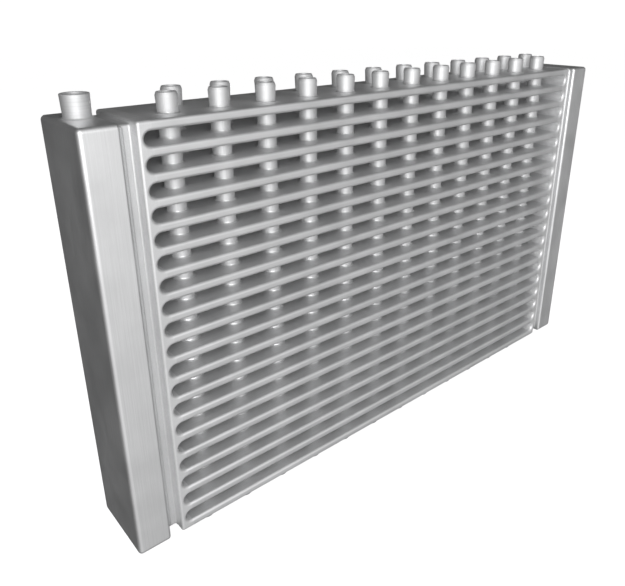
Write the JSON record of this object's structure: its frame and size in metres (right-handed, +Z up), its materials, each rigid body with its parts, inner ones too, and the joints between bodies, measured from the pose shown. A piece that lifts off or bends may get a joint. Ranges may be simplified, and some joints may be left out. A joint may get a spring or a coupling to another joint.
{
  "type": "liquid cooling radiator",
  "caption": "Flat aluminium radiator: two upright end tanks joined by a stack of level flat tubes with air gaps, crossed by two staggered rows of round tubes; short hose port on a tank.",
  "frame": {"origin": "middle of the bounding box's bottom, in the plane of the cross tubes' lower ends", "axes": "+X along the flat tubes from the inlet tank to the outlet tank, +Y from the front to the rear of the core, +Z up along the tanks"},
  "size_m": [0.2438, 0.0284, 0.1521],
  "materials": {
    "tank_aluminium": "satin, lightly brushed along the height",
    "header_aluminium": "satin, milled",
    "flat_tube_aluminium": "satin, drawn along the length",
    "cross_tube_aluminium": "satin, drawn tube",
    "port_aluminium": "satin, turned"
  },
  "bodies": {
    "root": {"flat_tube_01": "flat_tube_aluminium", "flat_tube_02": "flat_tube_aluminium", "flat_tube_03": "flat_tube_aluminium", "flat_tube_04": "flat_tube_aluminium", "flat_tube_05": "flat_tube_aluminium", "flat_tube_06": "flat_tube_aluminium", "flat_tube_07": "flat_tube_aluminium", "flat_tube_08": "flat_tube_aluminium", "flat_tube_09": "flat_tube_aluminium", "flat_tube_10": "flat_tube_aluminium", "flat_tube_11": "flat_tube_aluminium", "flat_tube_12": "flat_tube_aluminium", "flat_tube_13": "flat_tube_aluminium", "flat_tube_14": "flat_tube_aluminium", "flat_tube_15": "flat_tube_aluminium", "flat_tube_16": "flat_tube_aluminium", "flat_tube_17": "flat_tube_aluminium", "flat_tube_18": "flat_tube_aluminium", "flat_tube_19": "flat_tube_aluminium", "flat_tube_20": "flat_tube_aluminium", "front_cross_tube_01": "cross_tube_aluminium", "front_cross_tube_02": "cross_tube_aluminium", "front_cross_tube_03": "cross_tube_aluminium", "front_cross_tube_04": "cross_tube_aluminium", "front_cross_tube_05": "cross_tube_aluminium", "front_cross_tube_06": "cross_tube_aluminium", "front_cross_tube_07": "cross_tube_aluminium", "front_cross_tube_08": "cross_tube_aluminium", "front_cross_tube_09": "cross_tube_aluminium", "front_cross_tube_10": "cross_tube_aluminium", "front_cross_tube_11": "cross_tube_aluminium", "front_cross_tube_12": "cross_tube_aluminium", "rear_cross_tube_01": "cross_tube_aluminium", "rear_cross_tube_02": "cross_tube_aluminium", "rear_cross_tube_03": "cross_tube_aluminium", "rear_cross_tube_04": "cross_tube_aluminium", "rear_cross_tube_05": "cross_tube_aluminium", "rear_cross_tube_06": "cross_tube_aluminium", "rear_cross_tube_07": "cross_tube_aluminium", "rear_cross_tube_08": "cross_tube_aluminium", "rear_cross_tube_09": "cross_tube_aluminium", "rear_cross_tube_10": "cross_tube_aluminium", "rear_cross_tube_11": "cross_tube_aluminium", "rear_cross_tube_12": "cross_tube_aluminium", "left_header_plate": "header_aluminium", "left_neck_duct": "header_aluminium", "left_tank_cover": "tank_aluminium", "left_tank_shell": "tank_aluminium", "right_header_plate": "header_aluminium", "right_neck_duct": "header_aluminium", "right_tank_cover": "tank_aluminium", "right_tank_shell": "tank_aluminium", "inlet_port": "port_aluminium", "outlet_port": "port_aluminium"}
  },
  "joints": []
}
